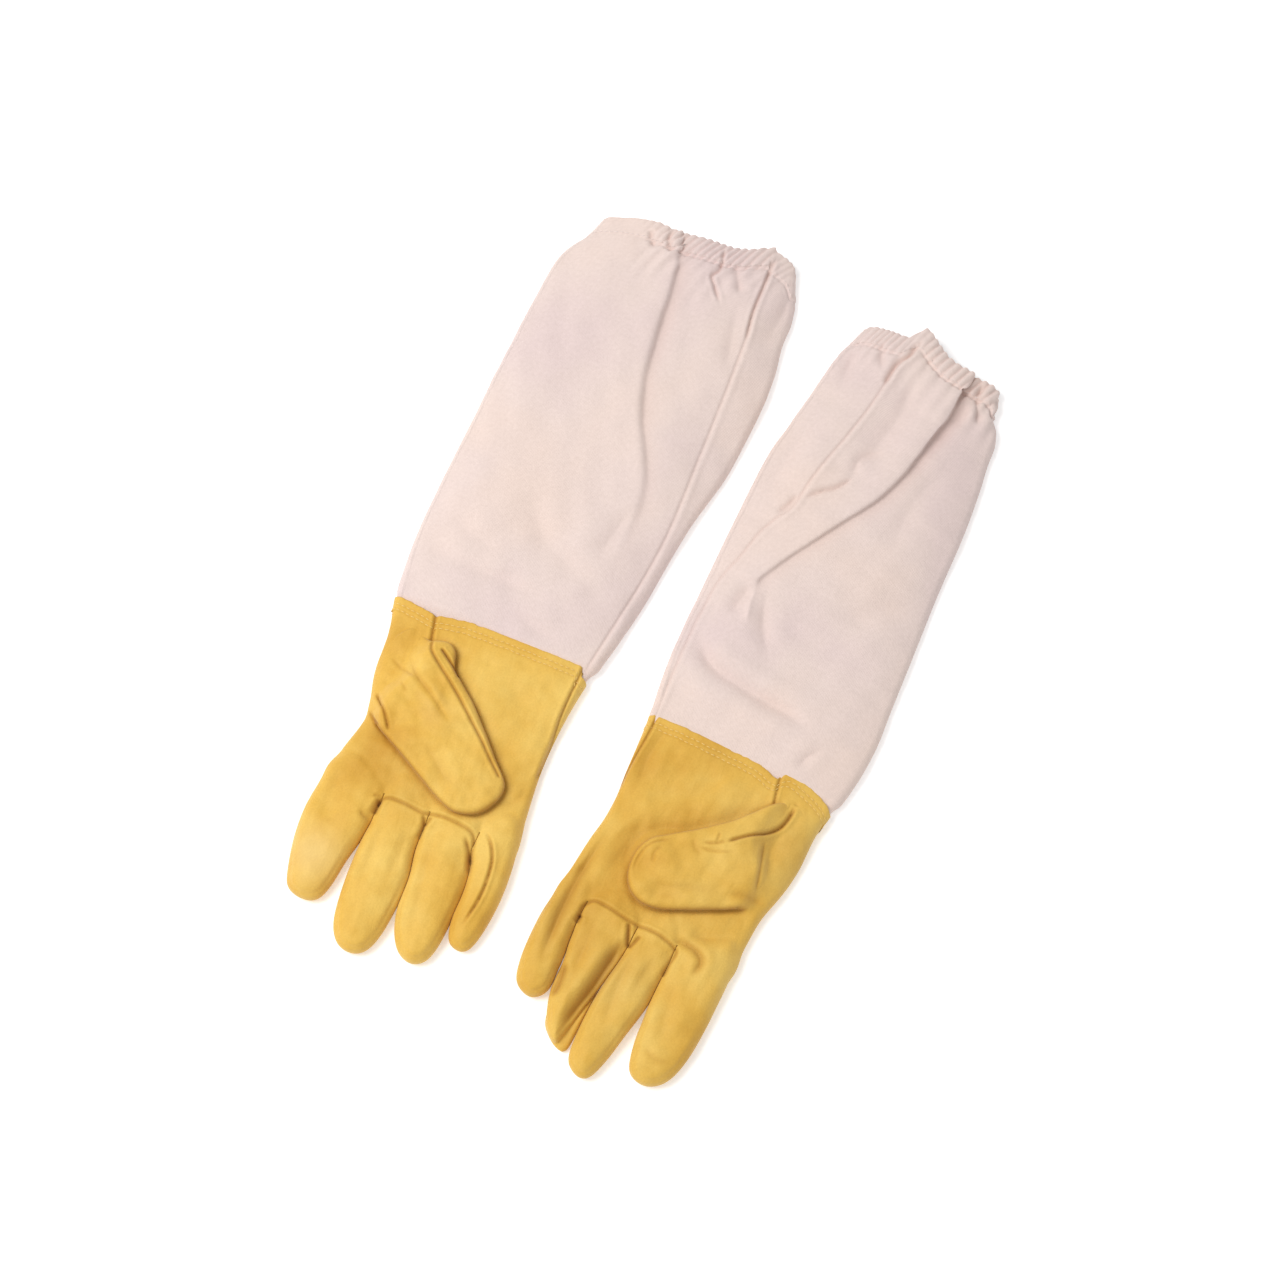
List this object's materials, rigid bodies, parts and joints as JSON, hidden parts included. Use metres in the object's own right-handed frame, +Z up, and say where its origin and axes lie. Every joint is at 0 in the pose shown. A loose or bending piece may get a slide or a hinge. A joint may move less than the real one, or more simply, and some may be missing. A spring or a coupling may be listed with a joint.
{
  "type": "beekeeping gloves",
  "caption": "Beekeeping gloves lying palm up: soft yellow leather hands sewn to long cotton canvas sleeves with gathered elastic openings.",
  "frame": {"origin": "under the middle of the pair, on the surface that it lies on", "axes": "+Y from the fingertips to the sleeve openings, +X from the right-hand glove to the left-hand glove, +Z up out of the palms"},
  "size_m": [0.307, 0.516, 0.0254],
  "materials": {
    "leather": "soft unlined glove leather with a fine grain",
    "canvas": "plain-woven unbleached cotton canvas",
    "yellow_thread": "waxed sewing thread",
    "white_thread": "cotton sewing thread",
    "elastic": "woven elastic band"
  },
  "bodies": {
    "right_palm": {"right_palm_front": "leather", "right_hand_back": "leather", "right_sleeve_sewn_edge": "canvas", "right_cuff_stitching": "yellow_thread", "right_finger_inset_stitching": "yellow_thread"},
    "right_index": {"right_index_stall": "leather"},
    "right_middle": {"right_middle_front": "leather", "right_middle_back": "leather"},
    "right_ring": {"right_ring_front": "leather", "right_ring_back": "leather"},
    "right_little": {"right_little_stall": "leather"},
    "right_thumb": {"right_thumb_back": "leather", "right_thumb_front": "leather", "right_thumb_stitching": "yellow_thread"},
    "right_sleeve": {"right_sleeve_tube": "canvas", "right_sleeve_seam": "canvas", "right_elastic_casing": "canvas", "right_elastic_band": "elastic", "right_casing_stitching": "white_thread"},
    "left_palm": {"left_palm_front": "leather", "left_hand_back": "leather", "left_sleeve_sewn_edge": "canvas", "left_cuff_stitching": "yellow_thread", "left_finger_inset_stitching": "yellow_thread"},
    "left_index": {"left_index_stall": "leather"},
    "left_middle": {"left_middle_front": "leather", "left_middle_back": "leather"},
    "left_ring": {"left_ring_front": "leather", "left_ring_back": "leather"},
    "left_little": {"left_little_stall": "leather"},
    "left_thumb": {"left_thumb_back": "leather", "left_thumb_front": "leather", "left_thumb_stitching": "yellow_thread"},
    "left_sleeve": {"left_sleeve_tube": "canvas", "left_sleeve_seam": "canvas", "left_elastic_casing": "canvas", "left_elastic_band": "elastic", "left_casing_stitching": "white_thread"}
  },
  "joints": [
    {"name": "right_index_curl", "type": "hinge", "parent": "right_palm", "child": "right_index", "pos_m": [-0.1236, -0.1516, 0.0142], "axis": [-1, 0, 0], "range_deg": [0, 90]},
    {"name": "right_middle_curl", "type": "hinge", "parent": "right_palm", "child": "right_middle", "pos_m": [-0.0876, -0.1516, 0.0142], "axis": [-1, 0, 0], "range_deg": [0, 90]},
    {"name": "right_ring_curl", "type": "hinge", "parent": "right_palm", "child": "right_ring", "pos_m": [-0.0546, -0.1516, 0.0142], "axis": [-1, 0, 0], "range_deg": [0, 90]},
    {"name": "right_little_curl", "type": "hinge", "parent": "right_palm", "child": "right_little", "pos_m": [-0.0286, -0.1516, 0.0142], "axis": [-1, 0, 0], "range_deg": [0, 90]},
    {"name": "right_thumb_open", "type": "hinge", "parent": "right_palm", "child": "right_thumb", "pos_m": [-0.1216, -0.0814, 0.0142], "axis": [0, -1, 0], "range_deg": [0, 115]},
    {"name": "right_sleeve_fold", "type": "hinge", "parent": "right_palm", "child": "right_sleeve", "pos_m": [-0.0846, -0.0332, 0.0132], "axis": [1, 0, 0], "range_deg": [0, 90]},
    {"name": "left_glove_lift", "type": "slide", "parent": "right_palm", "child": "left_palm", "axis": [0, 0, 1], "range_m": [0, 0.25]},
    {"name": "left_index_curl", "type": "hinge", "parent": "left_palm", "child": "left_index", "pos_m": [0.10887, -0.17118, 0.0142], "axis": [-0.9976, 0.0698, 0], "range_deg": [0, 90]},
    {"name": "left_middle_curl", "type": "hinge", "parent": "left_palm", "child": "left_middle", "pos_m": [0.07695, -0.16895, 0.0142], "axis": [-0.9976, 0.0698, 0], "range_deg": [0, 90]},
    {"name": "left_ring_curl", "type": "hinge", "parent": "left_palm", "child": "left_ring", "pos_m": [0.04802, -0.16693, 0.0142], "axis": [-0.9976, 0.0698, 0], "range_deg": [0, 90]},
    {"name": "left_little_curl", "type": "hinge", "parent": "left_palm", "child": "left_little", "pos_m": [0.02308, -0.16518, 0.0142], "axis": [-0.9976, 0.0698, 0], "range_deg": [0, 90]},
    {"name": "left_thumb_open", "type": "hinge", "parent": "left_palm", "child": "left_thumb", "pos_m": [0.11676, -0.10136, 0.0142], "axis": [0.0698, 0.9976, 0], "range_deg": [0, 115]},
    {"name": "left_sleeve_fold", "type": "hinge", "parent": "left_palm", "child": "left_sleeve", "pos_m": [0.08421, -0.05077, 0.0132], "axis": [0.9976, -0.0698, 0], "range_deg": [0, 90]}
  ]
}
